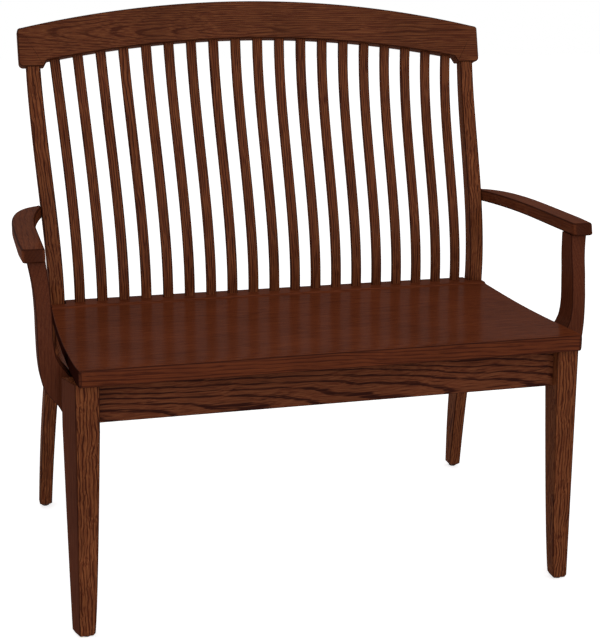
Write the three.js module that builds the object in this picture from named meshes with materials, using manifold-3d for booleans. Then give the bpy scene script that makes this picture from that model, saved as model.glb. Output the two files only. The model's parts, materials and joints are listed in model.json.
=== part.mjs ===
// Deacons bench in stained oak: a scooped seat on an apron frame, two square tapered front legs,
// two bent rear posts that run from the floor to the crest rail, bent back slats, and bowed arms
// on curved supports. Millimetres, +Z up, the sitter looks towards -Y.
import * as THREE from "three";
import { mergeVertices } from "three/addons/utils/BufferGeometryUtils.js";
import Module from "manifold-3d";

const wasm = await Module();
wasm.setup();

// Seat
const seatHeight = 464; // top of the front edge above the floor
const seatWidth = 850; // across the front corners
const seatDepth = 466;
const seatThickness = 28;
const seatSideBow = 8; // each side swells past the corners by this much
const seatBowPower = 0.45; // below 1 the sides swell soon after the corners
const seatEdgeRound = 3; // how far the side edges are rounded in
const seatEdgeBand = 8; // height of that rounding
const seatRearDrop = 7; // the rear ledge is lower than the front edge
const scoopDepth = 8;
const scoopFrontMargin = 12;
const scoopTail = 9; // the scoop's curve would only end this far behind the seat
const ledgeDepth = 45; // flat strip behind the scoop that holds the back
const ledgeRamp = 6;

// Front legs
const legWidth = 38; // of the front face
const legDepth = 45;
const legFlare = 0.38; // the outer face widens by this much of the depth towards the rear
const legSetback = 18; // the seat's front edge overhangs the legs by this
const legFootWidth = 25;
const legFootDepth = 24;
const legSplay = 7; // the foot stands out past the top by this
const legBlockBelow = 8; // the square top runs this far below the apron
const legWidthPower = 0.6; // the inner face curves in towards the foot
const legDepthPower = 0.85;
const footChamfer = 2.5;

// Apron frame
const apronHeight = 70.5;
const apronThickness = 20;
const apronRecess = 17; // front apron behind the face of the legs
const sideApronRecess = 10; // side apron inside the outer face of the legs
const rearApronThickness = 18;
const rearApronInset = 2; // rear apron inside the seat's rear edge
const tenonThickness = 8;
const tenonLength = 14;
const lowBandShares = [0.28, 0.54]; // part of the apron's height that a low tenon takes
const highBandShares = [0.64, 0.9];
const centreRailHeight = 48;
const centreRailThickness = 20;
const centreRailTenon = 9;

// Rear posts and the back
const postWidth = 27;
const postSwell = 1.5; // the post is wider by this half-way up the back
const postBow = 1.6; // and bows outwards by this there
const postTopWidth = 26;
const postDepth = 28;
const postTopDepth = 24;
const postFootDepth = 25;
const postCalf = 18.5; // the leg's rear face swells by this half-way down to the floor
const postFootWidth = 24.5;
const postLead = 7; // post faces stand in front of the slats at the seat
const postLeadGain = 4; // and by this much more at the crest
const postFan = 17; // posts lean outwards on their way up
const postTenonWidth = 14;
const postTenonDepth = 10;
const postTenonLength = 22;
const legKick = 132; // the rear feet stand behind the seat joint by this
const legKickSplay = 28; // and outside it by this
const kickEaseShare = 0.12;
const kickBendShare = 0.325; // the legs rake more near the seat than near the floor
const backHeight = 423; // seat ledge to the lower lip of the crest rail
const backLean = 145;
const bendEase = 8; // the back stays upright this far above the ledge
const bendRunShare = 1.13;
const slatCount = 19;
const slatWidth = 19.3;
const slatThickness = 8;
const slatEndGap = 18.8; // from the last slat to the post
const slatFanPower = 1.85; // above 1 the slats fan out most near the crest rail
const slatInset = 23; // slat faces in front of the seat's rear edge
const slatSeatTenon = 12;
const slatCrestTenon = 14;

// Crest rail, in the plane of the board
const crestWidth = 915;
const crestMiddleTop = 122; // above the lower lip
const crestMiddleUnder = 50;
const crestTopRadius = 2034;
const crestUnderRadius = 2137;
const crestThickness = 26;
const crestTilt = THREE.MathUtils.degToRad(16);
const crestLead = 2.5; // crest face in front of the posts
const crestTopCorner = 6;
const crestLowCorner = 8;
const crestLip = 44; // flat end of the underside, over the post
const crestCove = 9;

// Arms and their supports
const armRise = 168; // top of the arm above the seat's front edge
const armThickness = 22;
const armWidth = 39;
const armOverhang = 72.5; // outer edge of the arm past the seat's front corner
const armFront = 112; // front end of the arm behind the seat's front edge
const armNose = 8; // the front end slopes back by this towards its top
const armChin = 6; // height of the bevel under the front end
const armChinSetback = 3;
const armStraightEnd = 300; // where the arm starts to turn in to the post
const armCornerRadius = 7;
const armNoseTaper = 2.5; // the outer edge comes in by this at the front end
const armTaperRun = 70;
const armInnerCornerRadius = 7;
const supportFlare = 59; // outer face of the support past the side apron
const supportFront = 93.5;
const supportDepth = 50.5;
const supportTopDepth = 38;
const supportRake = 32; // its front face moves back by this at the top
const supportFootDrop = 4; // the foot ends below the apron by this
const supportTenonWidth = 16;
const supportTenonDepth = 18;
const supportTenonLength = 12;
// Heights are shares of the support's height, offsets are shares of its flare.
const supportOuterShares = [
  [0, 0.37], [0.073, 0.525], [0.138, 0.746], [0.219, 0.915], [0.348, 0.983],
  [0.51, 1], [0.672, 1.0], [0.834, 1.034], [1, 1.144],
];
const supportInnerShares = [
  [0, 0], [0.17, 0], [0.212, 0.03], [0.244, 0.1], [0.277, 0.2], [0.309, 0.302], [0.345, 0.403],
  [0.377, 0.471], [0.417, 0.522], [0.478, 0.553], [0.53, 0.567], [0.672, 0.57], [0.834, 0.59], [1, 0.65],
];
const supportRakeShares = [
  [0, 0], [0.43, 0.03], [0.59, 0.11], [0.75, 0.33], [0.92, 0.8], [1, 1],
];
const supportDepthShares = [
  [0, 1], [0.35, 1], [0.45, 0.74], [0.59, 0.69], [0.75, 0.55], [0.93, 0.11], [1, 0],
];

// Corner blocks and hardware
const blockLeg = 56;
const blockHeight = 63;
const blockScrewSide = 11; // seat screw to the side apron
const blockScrewFront = 33; // seat screw to the front or rear apron
const counterboreRadius = 5;
const screwRadius = 2.2;
const screwHeadRadius = 4.2;
const screwHeadHeight = 2.6;
const screwLength = 38;
const screwBite = 11; // depth of the seat screw in the seat
const screwTip = 5;
const boltRadius = 3;
const boltHeadRadius = 6.5;
const boltHeadHeight = 4;
const legBoltLength = 58;
const legBoltRise = 8; // above the lower edge of the block
const supportBoltLength = 36;
const supportBoltSetback = 30; // behind the support's front face
const supportBoltShares = [0.27, 0.55]; // of the apron's height
const dowelRadius = 4;
const dowelLength = 34;
const glideRadius = 8;
const glideThickness = 3;
const nailRadius = 1.2;
const nailLength = 12;

// Clearances and steps
const fit = 0.3; // between any two pieces
const overrun = 60; // cutters and blanks run past the piece by this
const curveSteps = 22;
const shortSteps = 5;
const roundSides = 12;

// Places worked out from the sizes
const seatBottom = seatHeight - seatThickness;
const ledgeFront = seatDepth - ledgeDepth;
const ledgeTop = seatHeight - seatRearDrop;
const apronTop = seatBottom - fit;
const apronBottom = apronTop - apronHeight;
const legTop = seatBottom - fit;
const legBlockEnd = apronBottom - legBlockBelow;
const legRear = legSetback + legDepth;
const legOuter = seatHalfWidth(legSetback + legDepth / 2);
const frontApronFace = legSetback + apronRecess;
const frontApronRear = frontApronFace + apronThickness;
const sideApronOuter = legOuter - sideApronRecess;
const sideApronInner = sideApronOuter - apronThickness;
const rearApronRear = seatDepth - rearApronInset;
const rearApronFront = rearApronRear - rearApronThickness;
const slatSeatFace = seatDepth - slatInset;
const postSeatFace = slatSeatFace - postLead;
const postSeatCentre = seatHalfWidth(postSeatFace) - postWidth / 2;
const lipHeight = ledgeTop + backHeight;
const lipFace = postFace(lipHeight) - crestLead;
const armTop = seatHeight + armRise;
const armUnder = armTop - armThickness;
const armOuter = seatWidth / 2 + armOverhang;
const armInner = armOuter - armWidth;
const armMiddle = armUnder + armThickness / 2;
const supportTop = armUnder - fit;
const supportFoot = apronBottom - supportFootDrop;
const supportHeight = supportTop - supportFoot;
const supportSeat = sideApronOuter + fit;

const oakMaterial = () => new THREE.MeshStandardMaterial({ color: 0x5e3524, roughness: 0.42, metalness: 0 });
const hiddenOakMaterial = () =>
  new THREE.MeshStandardMaterial({ color: 0x7a5138, roughness: 0.7, metalness: 0 });
const steelMaterial = () => new THREE.MeshStandardMaterial({ color: 0x9a9a98, roughness: 0.35, metalness: 1 });
const nylonMaterial = () => new THREE.MeshStandardMaterial({ color: 0x3a3634, roughness: 0.6, metalness: 0 });

// Curves that several pieces share

// A soft step from 0 to 1.
function softStep(t) {
  const s = Math.min(Math.max(t, 0), 1);
  return s * s * (3 - 2 * s);
}

// Value of a table of [place, value] pairs at a place, by straight lines.
function lookUp(table, place) {
  const next = table.findIndex(([at]) => at >= place);
  if (next < 0) return table[table.length - 1][1];
  if (next === 0) return table[0][1];
  const [fromAt, fromValue] = table[next - 1];
  const [toAt, toValue] = table[next];
  return fromValue + ((toValue - fromValue) * (place - fromAt)) / (toAt - fromAt);
}

// Half the seat's width at a depth behind its front edge.
function seatHalfWidth(depth) {
  const along = Math.min(Math.max(depth / seatDepth, 0), 1);
  return seatWidth / 2 + seatSideBow * Math.sin(Math.PI * along) ** seatBowPower;
}

// Height of the scooped surface at a depth behind the front edge.
function scoopHeight(depth) {
  const slope = seatHeight - (seatRearDrop * depth) / ledgeFront;
  const along = (depth - scoopFrontMargin) / (seatDepth + scoopTail - scoopFrontMargin);
  return slope - scoopDepth * Math.sin(Math.PI * Math.min(Math.max(along, 0), 1));
}

// How much of its lean the back has at a height, from 0 at the seat.
function leanShare(height) {
  return softStep((height - ledgeTop - bendEase) / (backHeight * bendRunShare));
}

// How much of their kick the rear legs have at a height, up to 1 at the floor.
function kickShare(height) {
  const down = Math.max(ledgeTop - height, 0) / ledgeTop;
  const eased = down < kickEaseShare ? down ** 2 / (2 * kickEaseShare) : down - kickEaseShare / 2;
  const straight = eased / (1 - kickEaseShare / 2);
  return straight * (1 + kickBendShare * (1 - straight));
}

// Front face of the slats at a height.
function slatFace(height) {
  return slatSeatFace + backLean * leanShare(height);
}

// Front face of a rear post at a height, from the floor to the crest rail.
function postFace(height) {
  const up = Math.max(height - ledgeTop, 0) / backHeight;
  return slatFace(height) - postLead - postLeadGain * up + legKick * kickShare(height);
}

// A post's depth from front to back at a height.
function postDepthAt(height) {
  if (height < ledgeTop) {
    const up = height / ledgeTop;
    return postFootDepth + (postDepth - postFootDepth) * up + postCalf * Math.sin(Math.PI * up);
  }
  return postDepth + ((postTopDepth - postDepth) * (height - ledgeTop)) / backHeight;
}

// Middle of the right post, seen from the front, at a height.
function postCentre(height) {
  const up = Math.min(Math.max(height - ledgeTop, 0) / backHeight, 1);
  const bow = postBow * Math.sin(Math.PI * up);
  return postSeatCentre + postFan * leanShare(height) + legKickSplay * kickShare(height) + bow;
}

// A post's width seen from the front at a height.
function postWidthAt(height) {
  if (height < ledgeTop) return postFootWidth + ((postWidth - postFootWidth) * height) / ledgeTop;
  const up = Math.min((height - ledgeTop) / backHeight, 1);
  return postWidth + (postTopWidth - postWidth) * up + postSwell * Math.sin(Math.PI * up);
}

// Inner faces of the posts, which the slats share out evenly.
function postInner(height) {
  return postCentre(height) - postWidthAt(height) / 2;
}

// Building blocks

// A closed geometry as a solid that can be joined and cut.
function solid(geometry) {
  const bare = geometry.clone();
  bare.deleteAttribute("normal");
  bare.deleteAttribute("uv");
  const merged = mergeVertices(bare);
  const vertProperties = new Float32Array(merged.attributes.position.array);
  const triVerts = new Uint32Array(merged.index.array);
  return new wasm.Manifold(new wasm.Mesh({ numProp: 3, vertProperties, triVerts }));
}

// The same solid on the other side of the bench's middle plane.
function mirrored(body) {
  const { vertProperties, triVerts } = body.getMesh();
  const places = vertProperties.map((value, i) => (i % 3 === 0 ? -value : value));
  const turned = triVerts.map((_, i) => triVerts[i - (i % 3) + 2 - (i % 3)]);
  return new wasm.Manifold(new wasm.Mesh({ numProp: 3, vertProperties: places, triVerts: turned }));
}

function geometryOf(body) {
  const { vertProperties, triVerts } = body.getMesh();
  const geometry = new THREE.BufferGeometry();
  geometry.setAttribute("position", new THREE.BufferAttribute(vertProperties, 3));
  geometry.setIndex(new THREE.BufferAttribute(triVerts, 1));
  return geometry;
}

function outline(points) {
  return new THREE.Shape(points.map(([across, up]) => new THREE.Vector2(across, up)));
}

// An outline in Y and Z carried along X.
function alongX(points, from, to) {
  const geometry = new THREE.ExtrudeGeometry(outline(points), { depth: to - from, bevelEnabled: false });
  const axes = new THREE.Matrix4().makeBasis(
    new THREE.Vector3(0, 1, 0), new THREE.Vector3(0, 0, 1), new THREE.Vector3(1, 0, 0));
  return solid(geometry.applyMatrix4(axes).translate(from, 0, 0));
}

// An outline in X and Z carried along Y.
function alongY(points, from, to) {
  const geometry = new THREE.ExtrudeGeometry(outline(points), { depth: to - from, bevelEnabled: false });
  const axes = new THREE.Matrix4().makeBasis(
    new THREE.Vector3(1, 0, 0), new THREE.Vector3(0, 0, 1), new THREE.Vector3(0, -1, 0));
  return solid(geometry.applyMatrix4(axes).translate(0, to, 0));
}

// An outline in X and Y carried along Z.
function alongZ(points, from, to) {
  const geometry = new THREE.ExtrudeGeometry(outline(points), { depth: to - from, bevelEnabled: false });
  return solid(geometry.translate(0, 0, from));
}

function boxBetween(low, high) {
  const size = high.map((value, i) => value - low[i]);
  const middle = high.map((value, i) => (value + low[i]) / 2);
  return solid(new THREE.BoxGeometry(...size).translate(...middle));
}

// Even places from one value to another, both ends included.
function places(from, to, steps) {
  return Array.from({ length: steps + 1 }, (_, i) => from + ((to - from) * i) / steps);
}

// A closed strip between two edge functions of height.
function strip(heights, near, far) {
  const up = heights.map((height) => [near(height), height]);
  const down = heights.map((height) => [far(height), height]).reverse();
  return [...down.reverse(), ...up.reverse()];
}

// A round corner as points, turning about a centre from one angle to another.
function corner(centreAcross, centreUp, radius, fromAngle, toAngle) {
  return places(fromAngle, toAngle, shortSteps).map((angle) => [
    centreAcross + radius * Math.cos(angle),
    centreUp + radius * Math.sin(angle),
  ]);
}

// A turned piece from a profile of [radius, height] pairs that starts and ends on its axis.
function turned(profile, sides = roundSides) {
  return new THREE.LatheGeometry(profile.map(([r, h]) => new THREE.Vector2(r, h)), sides)
    .rotateX(Math.PI / 2);
}

// Places a piece made along +Z so that its axis runs from a point in a direction.
function aimed(geometry, from, direction) {
  const turn = new THREE.Quaternion().setFromUnitVectors(
    new THREE.Vector3(0, 0, 1), direction.clone().normalize());
  return geometry.clone().applyQuaternion(turn).translate(...from.toArray());
}

// Rear posts, sawn to one outline from the side and another from the front

function postBlank(grow) {
  const heights = [
    ...places(glideThickness, ledgeTop, curveSteps),
    ...places(ledgeTop, lipHeight + crestThickness, curveSteps).slice(1),
  ];
  const fromSide = alongX(
    strip(heights, (z) => postFace(z) - grow, (z) => postFace(z) + postDepthAt(z) + grow),
    0, seatWidth);
  const fromFront = alongY(
    strip(heights,
      (z) => postCentre(z) - postWidthAt(z) / 2 - grow,
      (z) => postCentre(z) + postWidthAt(z) / 2 + grow),
    0, seatDepth + backLean + legKick + overrun);
  return fromSide.intersect(fromFront);
}

// The board's own frame: across, up in the board's plane, and forwards from its face.
const crestAxes = new THREE.Matrix4()
  .makeTranslation(0, lipFace, lipHeight)
  .multiply(new THREE.Matrix4().makeRotationX(Math.PI / 2 - crestTilt));

// A solid given in the board's frame, with depth counted backwards from its face.
function inCrest(points, fromDepth, toDepth) {
  const geometry = new THREE.ExtrudeGeometry(outline(points), {
    depth: toDepth - fromDepth,
    bevelEnabled: false,
  });
  return solid(geometry.translate(0, 0, -toDepth).applyMatrix4(crestAxes));
}

function rectangle(left, right, low, high) {
  return [[left, low], [right, low], [right, high], [left, high]];
}

function postTenon(grow) {
  const middle = postCentre(lipHeight);
  const half = postTenonWidth / 2 + grow;
  const front = (crestThickness - postTenonDepth) / 2 - grow;
  return inCrest(
    rectangle(middle - half, middle + half, -postTopDepth / 2, postTenonLength + grow),
    front, front + postTenonDepth + 2 * grow);
}

function crestSpace() {
  return inCrest(
    rectangle(-crestWidth, crestWidth, -fit, crestWidth), -crestThickness, 2 * crestThickness);
}

// Slats, bent to the same curve as the posts and fanned a little

function slatCentre(index, height) {
  const [atSeat, atCrest] = [ledgeTop, lipHeight].map((z) => postInner(z) - slatEndGap - slatWidth / 2);
  const up = Math.max(height - ledgeTop, 0) / backHeight;
  const outermost = atSeat + (atCrest - atSeat) * up ** slatFanPower;
  return outermost * ((2 * index) / (slatCount - 1) - 1);
}

// Height of the crest rail's underside, in the board's plane, at a place across it.
function crestUnder(across) {
  const drop = crestUnderRadius - Math.sqrt(crestUnderRadius ** 2 - across ** 2);
  return crestMiddleUnder - drop;
}

function slatBlank(index, grow) {
  const bottom = ledgeTop - slatSeatTenon - grow;
  const underside = lipHeight + crestUnder(slatCentre(index, lipHeight)) * Math.cos(crestTilt);
  const top = underside + slatCrestTenon + grow;
  const heights = places(bottom, top, curveSteps);
  const half = slatWidth / 2 + grow;
  const fromSide = alongX(
    strip(heights, (z) => slatFace(z) - grow, (z) => slatFace(z) + slatThickness + grow),
    -seatWidth, seatWidth);
  const fromFront = alongY(
    strip(heights, (z) => slatCentre(index, z) - half, (z) => slatCentre(index, z) + half),
    0, seatDepth + backLean + overrun);
  return fromSide.intersect(fromFront);
}

// Crest rail

function crestOutline() {
  const half = crestWidth / 2;
  const topAt = (across) =>
    crestMiddleTop - (crestTopRadius - Math.sqrt(crestTopRadius ** 2 - across ** 2));
  const lipStart = half - crestLip;
  const archEnd = lipStart - crestCove;
  const under = places(0, archEnd, curveSteps).map((x) => [x, crestUnder(x)]);
  const cove = places(0, 1, shortSteps).slice(1).map((t) => [
    archEnd + crestCove * t,
    crestUnder(archEnd) * (1 - softStep(t)),
  ]);
  const lowCorner = corner(half - crestLowCorner, crestLowCorner, crestLowCorner, -Math.PI / 2, 0);
  const highCorner = corner(
    half - crestTopCorner, topAt(half - crestTopCorner) - crestTopCorner, crestTopCorner,
    0, Math.PI / 2);
  const over = places(half - crestTopCorner, 0, curveSteps).slice(1, -1).map((x) => [x, topAt(x)]);
  const right = [...under, ...cove, ...lowCorner, ...highCorner, ...over, [0, topAt(0)]];
  const left = right.slice(1, -1).map(([x, up]) => [-x, up]).reverse();
  return [...right, ...left];
}

function crestRail(slatMortises) {
  let board = inCrest(crestOutline(), 0, crestThickness);
  const tenonSpace = postTenon(fit);
  for (const space of [tenonSpace, mirrored(tenonSpace), ...slatMortises]) board = board.subtract(space);
  return board;
}

// Seat: its plan, its rounded side edges and its scooped profile

function seatPanel(slatMortises) {
  const depths = places(0, seatDepth, curveSteps);
  const right = depths.map((y) => [seatHalfWidth(y), y]);
  const plan = [
    [seatHalfWidth(0), -overrun], ...right, [seatHalfWidth(seatDepth), seatDepth + overrun],
    [-seatHalfWidth(seatDepth), seatDepth + overrun],
    ...right.map(([x, y]) => [-x, y]).reverse(), [-seatHalfWidth(0), -overrun],
  ];
  const geometry = new THREE.ExtrudeGeometry(outline(plan), {
    depth: seatThickness - 2 * seatEdgeBand,
    bevelThickness: seatEdgeBand,
    bevelSize: seatEdgeRound,
    bevelOffset: -seatEdgeRound,
    bevelSegments: 3,
  });
  const blank = solid(geometry.translate(0, 0, seatBottom + seatEdgeBand));
  const rampFoot = ledgeFront - ledgeRamp;
  const scoop = places(rampFoot, scoopFrontMargin, curveSteps).map((y) => [y, scoopHeight(y)]);
  const profile = alongX(
    [
      [0, seatBottom - fit], [seatDepth, seatBottom - fit], [seatDepth, ledgeTop], [ledgeFront, ledgeTop],
      ...scoop, [0, seatHeight],
    ],
    -seatWidth, seatWidth);
  const behindPost = boxBetween(
    [postInner(ledgeTop) - fit, postSeatFace + postDepth / 2, seatBottom - fit],
    [seatWidth, seatDepth + overrun, seatHeight]);
  const notch = postBlank(fit).add(behindPost);
  let panel = blank.intersect(profile);
  for (const space of [notch, mirrored(notch), ...slatMortises]) panel = panel.subtract(space);
  return panel;
}

// Front legs: square at the top, tapered on the inner and rear faces

function legShare(height, power) {
  return Math.min(Math.max(height / legBlockEnd, 0), 1) ** power;
}

function legOuterAt(height) {
  return legOuter + legSplay * (1 - height / legTop);
}

function legInnerAt(height) {
  const width = legFootWidth + (legWidth - legFootWidth) * legShare(height, legWidthPower);
  return legOuterAt(height) - width;
}

function legRearAt(height) {
  return legSetback + legFootDepth + (legDepth - legFootDepth) * legShare(height, legDepthPower);
}

function legBlank(grow) {
  const low = glideThickness - grow;
  const heights = [
    ...places(0, 1, curveSteps).map((t) => low + (legBlockEnd - low) * t ** 2), legTop + grow,
  ];
  const rise = (z) => footChamfer * (1 - Math.min((z - low) / (2 * footChamfer), 1));
  const inside = alongY(
    strip(heights, (z) => legInnerAt(z) + rise(z) - grow, () => seatWidth), 0, legRear + overrun);
  const outside = alongY(
    strip(heights, () => 0, (z) => legOuterAt(z) - rise(z) + grow), 0, legRear + overrun);
  const flare = new THREE.Matrix4().makeShear(0, 0, legFlare, 0, 0, 0).setPosition(
    -legFlare * legSetback, 0, 0);
  const flared = solid(geometryOf(outside).applyMatrix4(flare));
  const fromSide = alongX(
    strip(heights, (z) => legSetback + rise(z) - grow, (z) => legRearAt(z) - rise(z) + grow),
    0, seatWidth);
  return inside.intersect(flared).intersect(fromSide);
}

// Aprons, with a stub tenon at each end

function band(shares) {
  return shares.map((share) => apronBottom + apronHeight * share);
}

function frontTenon(grow) {
  const [low, high] = band(lowBandShares);
  const middle = frontApronFace + apronThickness / 2;
  return boxBetween(
    [sideApronInner - apronThickness, middle - tenonThickness / 2 - grow, low - grow],
    [legInnerAt(legTop) + tenonLength + grow, middle + tenonThickness / 2 + grow, high + grow]);
}

function sideFrontTenon(grow) {
  const [low, high] = band(highBandShares);
  const middle = sideApronInner + apronThickness / 2;
  return boxBetween(
    [middle - tenonThickness / 2 - grow, legRear - tenonLength - grow, low - grow],
    [middle + tenonThickness / 2 + grow, legRear + apronThickness, high + grow]);
}

function sideRearTenon(grow) {
  const [low, high] = band(highBandShares);
  const middle = sideApronInner + apronThickness / 2;
  return boxBetween(
    [middle - tenonThickness / 2 - grow, postFace(high) - apronThickness, low - grow],
    [middle + tenonThickness / 2 + grow, postFace(high) + tenonLength + grow, high + grow]);
}

function rearTenon(grow) {
  const [low, high] = band(lowBandShares);
  const middle = postFace(low) + tenonThickness / 2 + rearApronInset;
  return boxBetween(
    [sideApronInner - apronThickness, middle - tenonThickness / 2 - grow, low - grow],
    [postInner(high) + tenonLength + grow, middle + tenonThickness / 2 + grow, high + grow]);
}

function centreTenons(grow) {
  const low = apronTop - centreRailHeight * highBandShares[1] - grow;
  const high = apronTop - centreRailHeight * (1 - highBandShares[1]) + grow;
  const half = tenonThickness / 2 + grow;
  return boxBetween(
    [-half, frontApronRear - centreRailTenon - grow, low],
    [half, rearApronFront + centreRailTenon + grow, high]);
}

function frontApron() {
  const board = boxBetween(
    [-legOuter, frontApronFace, apronBottom], [legOuter, frontApronRear, apronTop]);
  const leg = legBlank(fit);
  const tenon = frontTenon(0);
  return board.subtract(leg).subtract(mirrored(leg))
    .intersect(boxBetween(
      [-legInnerAt(legTop), 0, 0], [legInnerAt(legTop), seatDepth, seatHeight]))
    .add(tenon).add(mirrored(tenon)).subtract(centreTenons(fit));
}

function rearApron() {
  const reach = postInner(apronTop);
  const board = boxBetween([-reach, rearApronFront, apronBottom], [reach, rearApronRear, apronTop]);
  const post = postBlank(fit);
  const tenon = rearTenon(0);
  return board.subtract(post).subtract(mirrored(post)).add(tenon).add(mirrored(tenon))
    .subtract(centreTenons(fit));
}

function sideApron() {
  const board = boxBetween(
    [sideApronInner, legRear + fit, apronBottom],
    [sideApronOuter, postFace(apronTop) + postDepth / 2, apronTop]);
  const openEnds = boxBetween(
    [sideApronInner, rearApronFront - fit, apronBottom - fit],
    [postInner(apronBottom) + fit, seatDepth + overrun, apronTop + fit]);
  let apron = board.subtract(postBlank(fit)).subtract(openEnds)
    .add(sideFrontTenon(0)).add(sideRearTenon(0));
  for (const bolt of supportBolts(fit)) apron = apron.subtract(bolt);
  return apron;
}

function centreRail() {
  return boxBetween(
    [-centreRailThickness / 2, frontApronRear + fit, apronTop - centreRailHeight],
    [centreRailThickness / 2, rearApronFront - fit, apronTop]).add(centreTenons(0));
}

// Arms: a plan with a long straight and a turn in to the post, cut to a sloping nose

function armPlan() {
  const postSide = postCentre(armMiddle) + postWidthAt(armMiddle) / 2 + fit;
  const postFront = postFace(armMiddle);
  const postBack = postFront + postDepthAt(armMiddle);
  const turnIn = postFront - armStraightEnd;
  const outerTurn = new THREE.CubicBezierCurve(
    new THREE.Vector2(armOuter, armStraightEnd),
    new THREE.Vector2(armOuter, armStraightEnd + turnIn * 0.8),
    new THREE.Vector2(armOuter - armWidth * 0.6, postBack - postDepth / 2),
    new THREE.Vector2(postSide, postBack));
  const noseTaper = new THREE.CubicBezierCurve(
    new THREE.Vector2(armOuter - armNoseTaper, armFront + armCornerRadius),
    new THREE.Vector2(armOuter - armNoseTaper / 2, armFront + armTaperRun / 2),
    new THREE.Vector2(armOuter, armFront + armTaperRun * 0.75),
    new THREE.Vector2(armOuter, armFront + armTaperRun));
  const innerTurn = new THREE.CubicBezierCurve(
    new THREE.Vector2(postSide, postFront + postDepth / 4),
    new THREE.Vector2(armInner - armWidth / 4, postFront - turnIn / 4),
    new THREE.Vector2(armInner, armStraightEnd + turnIn * 0.4),
    new THREE.Vector2(armInner, armStraightEnd - turnIn * 0.1));
  const points = (curve) => curve.getPoints(curveSteps / 2).map(({ x, y }) => [x, y]);
  return [
    ...corner(
      armInner + armInnerCornerRadius, armFront + armInnerCornerRadius, armInnerCornerRadius,
      Math.PI, Math.PI * 1.5),
    ...corner(
      armOuter - armNoseTaper - armCornerRadius, armFront + armCornerRadius, armCornerRadius,
      Math.PI * 1.5, Math.PI * 2),
    ...points(noseTaper).slice(1, -1),
    ...points(outerTurn),
    ...points(innerTurn),
  ];
}

function armNoseProfile() {
  const back = seatDepth + backLean;
  return [
    [armFront + armChinSetback, armUnder - fit], [back, armUnder - fit], [back, armTop + fit],
    [armFront + armNose, armTop + fit], [armFront + armNose / 4, armMiddle + armChin / 2],
    [armFront, armUnder + armChin],
  ];
}

function dowelSpace(grow) {
  const side = postCentre(armMiddle) + postWidthAt(armMiddle) / 2;
  const start = side - dowelLength / 2 - grow;
  const depth = postFace(armMiddle) + postDepthAt(armMiddle) * 0.66;
  const profile = [
    [0, 0], [dowelRadius + grow, 0],
    [dowelRadius + grow, dowelLength + 2 * grow], [0, dowelLength + 2 * grow],
  ];
  const along = new THREE.Vector3(1, 0, 0);
  return solid(aimed(turned(profile), new THREE.Vector3(start, depth, armMiddle), along));
}

function arm() {
  const board = alongZ(armPlan(), armUnder, armTop);
  const nose = alongX(armNoseProfile(), 0, armOuter + overrun);
  return board.intersect(nose).subtract(postBlank(fit))
    .subtract(supportTenon(fit)).subtract(dowelSpace(fit));
}

// Arm supports: flat on the side apron, then out past the seat and up to the arm

function supportFaceAt(height) {
  return supportFront + supportRake * lookUp(supportRakeShares, (height - supportFoot) / supportHeight);
}

function supportDepthAt(height) {
  const share = lookUp(supportDepthShares, (height - supportFoot) / supportHeight);
  return supportTopDepth + (supportDepth - supportTopDepth) * share;
}

// A smooth edge through a table of shares, as points across and up.
function supportEdge(shares) {
  const through = shares.map(([up, out]) => new THREE.Vector2(
    supportSeat + supportFlare * out, supportFoot + supportHeight * up));
  return new THREE.SplineCurve(through).getPoints(curveSteps + 2).map(({ x, y }) => [
    Math.max(x, supportSeat), y,
  ]);
}

function supportTenon(grow) {
  const height = supportTop;
  const inner = supportSeat + supportFlare * supportInnerShares[supportInnerShares.length - 1][1];
  const outer = supportSeat + supportFlare * supportOuterShares[supportOuterShares.length - 1][1];
  const middle = (inner + outer) / 2;
  const deep = supportFaceAt(height) + supportDepthAt(height) / 2;
  return boxBetween(
    [middle - supportTenonWidth / 2 - grow, deep - supportTenonDepth / 2 - grow, height - armThickness],
    [
      middle + supportTenonWidth / 2 + grow, deep + supportTenonDepth / 2 + grow,
      height + supportTenonLength + grow,
    ]);
}

function armSupport() {
  const front = alongY(
    [...supportEdge(supportOuterShares), ...supportEdge(supportInnerShares).reverse()],
    0, seatDepth);
  const heights = places(supportFoot, supportTop, curveSteps);
  const side = alongX(
    strip(heights, supportFaceAt, (z) => supportFaceAt(z) + supportDepthAt(z)), 0, armOuter + overrun);
  let piece = front.intersect(side).add(supportTenon(0));
  for (const bolt of supportBolts(fit)) piece = piece.subtract(bolt);
  return piece;
}

// Corner blocks, cut round the leg or post, and what goes through them

function frontBlockPlan() {
  const side = sideApronInner - fit;
  const face = frontApronRear + fit;
  return [[side, face], [side, face + blockLeg], [side - blockLeg, face]];
}

function rearBlockPlan() {
  const side = sideApronInner - fit;
  const face = rearApronFront - fit;
  return [[side, face], [side - blockLeg, face], [side, face - blockLeg]];
}

function seatScrewPlace(atFront) {
  const depth = atFront ? frontApronRear + blockScrewFront : rearApronFront - blockScrewFront;
  const headHeight = seatBottom + screwBite - screwLength;
  return new THREE.Vector3(sideApronInner - blockScrewSide, depth, headHeight);
}

// The screw ends in a point, the hole for it ends square.
function screwProfile(grow) {
  const tip = grow > 0 ? 0 : screwTip;
  return [
    [0, -grow], [screwHeadRadius + grow, -grow], [screwHeadRadius + grow, screwHeadHeight + grow],
    [screwRadius + grow, screwHeadHeight + grow], [screwRadius + grow, screwLength - tip + grow],
    [0, screwLength + grow],
  ];
}

function seatScrew(atFront, grow) {
  return aimed(turned(screwProfile(grow)), seatScrewPlace(atFront), new THREE.Vector3(0, 0, 1));
}

function boltProfile(length, grow) {
  return [
    [0, -boltHeadHeight - grow], [boltHeadRadius + grow, -boltHeadHeight - grow],
    [boltHeadRadius + grow, 0], [boltRadius + grow, 0],
    [boltRadius + grow, length - boltRadius + grow], [0, length + grow],
  ];
}

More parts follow.
